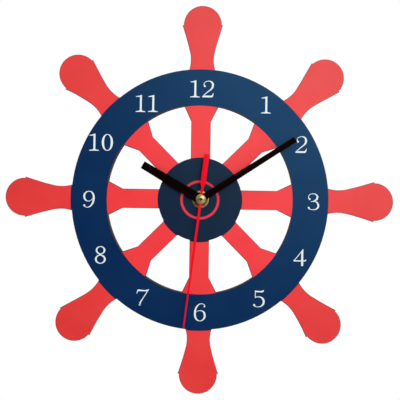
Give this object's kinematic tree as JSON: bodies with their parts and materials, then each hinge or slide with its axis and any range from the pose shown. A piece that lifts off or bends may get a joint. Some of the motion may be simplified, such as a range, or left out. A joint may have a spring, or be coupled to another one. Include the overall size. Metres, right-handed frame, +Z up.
{
  "type": "wall clock",
  "caption": "Ship's-wheel wall clock: a flat red wheel board with a numbered navy ring dial, slim hands and a battery quartz movement behind the hub.",
  "frame": {"origin": "the hand shaft's axis at the flat back of the movement case, where it meets the wall", "axes": "+Z up towards the 12, +Y backwards into the wall, +X to the right as seen from the front"},
  "size_m": [0.3, 0.0293, 0.3],
  "materials": {
    "board_red": "satin red paint on laser-cut fibreboard, scorched dark brown at the cut edges",
    "print_navy": "satin navy print",
    "print_navy_hub": "satin navy print",
    "print_red": "satin red print",
    "print_white": "satin white print",
    "zinc_steel": "zinc plated sheet",
    "washer_rubber": "matt black rubber",
    "polished_brass": "turned and polished",
    "case_black": "moulded with a fine grain",
    "plate_clear": "milky clear moulding",
    "plate_white": "moulded",
    "gear_white": "moulded acetal",
    "magnet_grey": "ground magnet",
    "steel_pin": "bright turned steel",
    "silicon_steel": "stamped soft iron",
    "bobbin_plastic": "moulded nylon",
    "copper_wire": "enamelled copper wire",
    "circuit_green": "lacquered laminate",
    "chip_black": "moulded epoxy",
    "crystal_can": "drawn can",
    "battery_wrap": "printed metal sleeve, plain",
    "contact_nickel": "nickel plated spring strip",
    "hand_black": "satin black lacquer on aluminium",
    "hand_red": "red lacquer on aluminium",
    "knob_grey": "moulded, ribbed edge"
  },
  "bodies": {
    "clock_body": {"wheel_board": "board_red", "dial_ring_film": "print_navy", "hub_film": "print_navy_hub", "hub_line_film": "print_red", "dial_numerals": "print_white", "wall_hanger": "zinc_steel", "rubber_washer": "washer_rubber", "brass_washer": "polished_brass", "hex_nut": "polished_brass", "rear_case": "case_black", "front_cover": "case_black", "threaded_bush": "polished_brass", "train_plate": "plate_clear", "middle_plate": "plate_white", "stator": "silicon_steel", "coil_core": "silicon_steel", "coil_bobbin": "bobbin_plastic", "coil_winding": "copper_wire", "motor_screws": "steel_pin", "circuit_board": "circuit_green", "chip": "chip_black", "quartz_crystal": "crystal_can", "battery_contact_positive": "contact_nickel", "battery_contact_negative": "contact_nickel"},
    "second_hand_set": {"second_hand": "hand_red", "second_hand_cap": "polished_brass", "seconds_spindle": "steel_pin", "seconds_wheel": "gear_white"},
    "rotor_set": {"rotor_pinion": "gear_white", "rotor_magnet": "magnet_grey"},
    "intermediate_set": {"intermediate_wheel": "gear_white"},
    "third_set": {"third_wheel": "gear_white"},
    "centre_set": {"centre_wheel": "gear_white"},
    "minute_hand_set": {"minute_hand": "hand_black", "minute_hand_collet": "polished_brass", "minute_tube": "polished_brass"},
    "motion_set": {"minute_wheel": "gear_white", "setting_knob": "knob_grey"},
    "hour_hand_set": {"hour_hand": "hand_black", "hour_hand_collet": "polished_brass", "hour_wheel": "gear_white"},
    "battery_set": {"battery": "battery_wrap"}
  },
  "joints": [
    {"name": "second_hand_turn", "type": "hinge", "parent": "clock_body", "child": "second_hand_set", "pos_m": [0, 0, 0], "axis": [0, 1, 0], "continuous": true},
    {"name": "rotor_turn", "type": "hinge", "parent": "clock_body", "child": "rotor_set", "pos_m": [0.01552, 0, -0.00444], "axis": [0, 1, 0], "continuous": true},
    {"name": "intermediate_turn", "type": "hinge", "parent": "clock_body", "child": "intermediate_set", "pos_m": [0.00952, 0, -0.00444], "axis": [0, 1, 0], "continuous": true},
    {"name": "third_turn", "type": "hinge", "parent": "clock_body", "child": "third_set", "pos_m": [0, 0, 0.0108], "axis": [0, 1, 0], "continuous": true},
    {"name": "centre_wheel_turn", "type": "hinge", "parent": "clock_body", "child": "centre_set", "pos_m": [0, 0, 0], "axis": [0, 1, 0], "continuous": true},
    {"name": "minute_hand_turn", "type": "hinge", "parent": "clock_body", "child": "minute_hand_set", "pos_m": [0, 0, 0], "axis": [0, 1, 0], "continuous": true},
    {"name": "setting_knob_turn", "type": "hinge", "parent": "clock_body", "child": "motion_set", "pos_m": [-0.012, 0, 0], "axis": [0, 1, 0], "continuous": true},
    {"name": "hour_hand_turn", "type": "hinge", "parent": "clock_body", "child": "hour_hand_set", "pos_m": [0, 0, 0], "axis": [0, 1, 0], "continuous": true},
    {"name": "battery_slide", "type": "slide", "parent": "clock_body", "child": "battery_set", "axis": [0, 1, 0], "range_m": [0, 0.018]}
  ],
  "couplings": [
    {"joint": "rotor_turn", "follows": "second_hand_turn", "ratio": 30},
    {"joint": "intermediate_turn", "follows": "second_hand_turn", "ratio": -6},
    {"joint": "third_turn", "follows": "second_hand_turn", "ratio": -0.125},
    {"joint": "centre_wheel_turn", "follows": "second_hand_turn", "ratio": 0.016667},
    {"joint": "setting_knob_turn", "follows": "minute_hand_turn", "ratio": -0.33333},
    {"joint": "hour_hand_turn", "follows": "minute_hand_turn", "ratio": 0.083333}
  ]
}
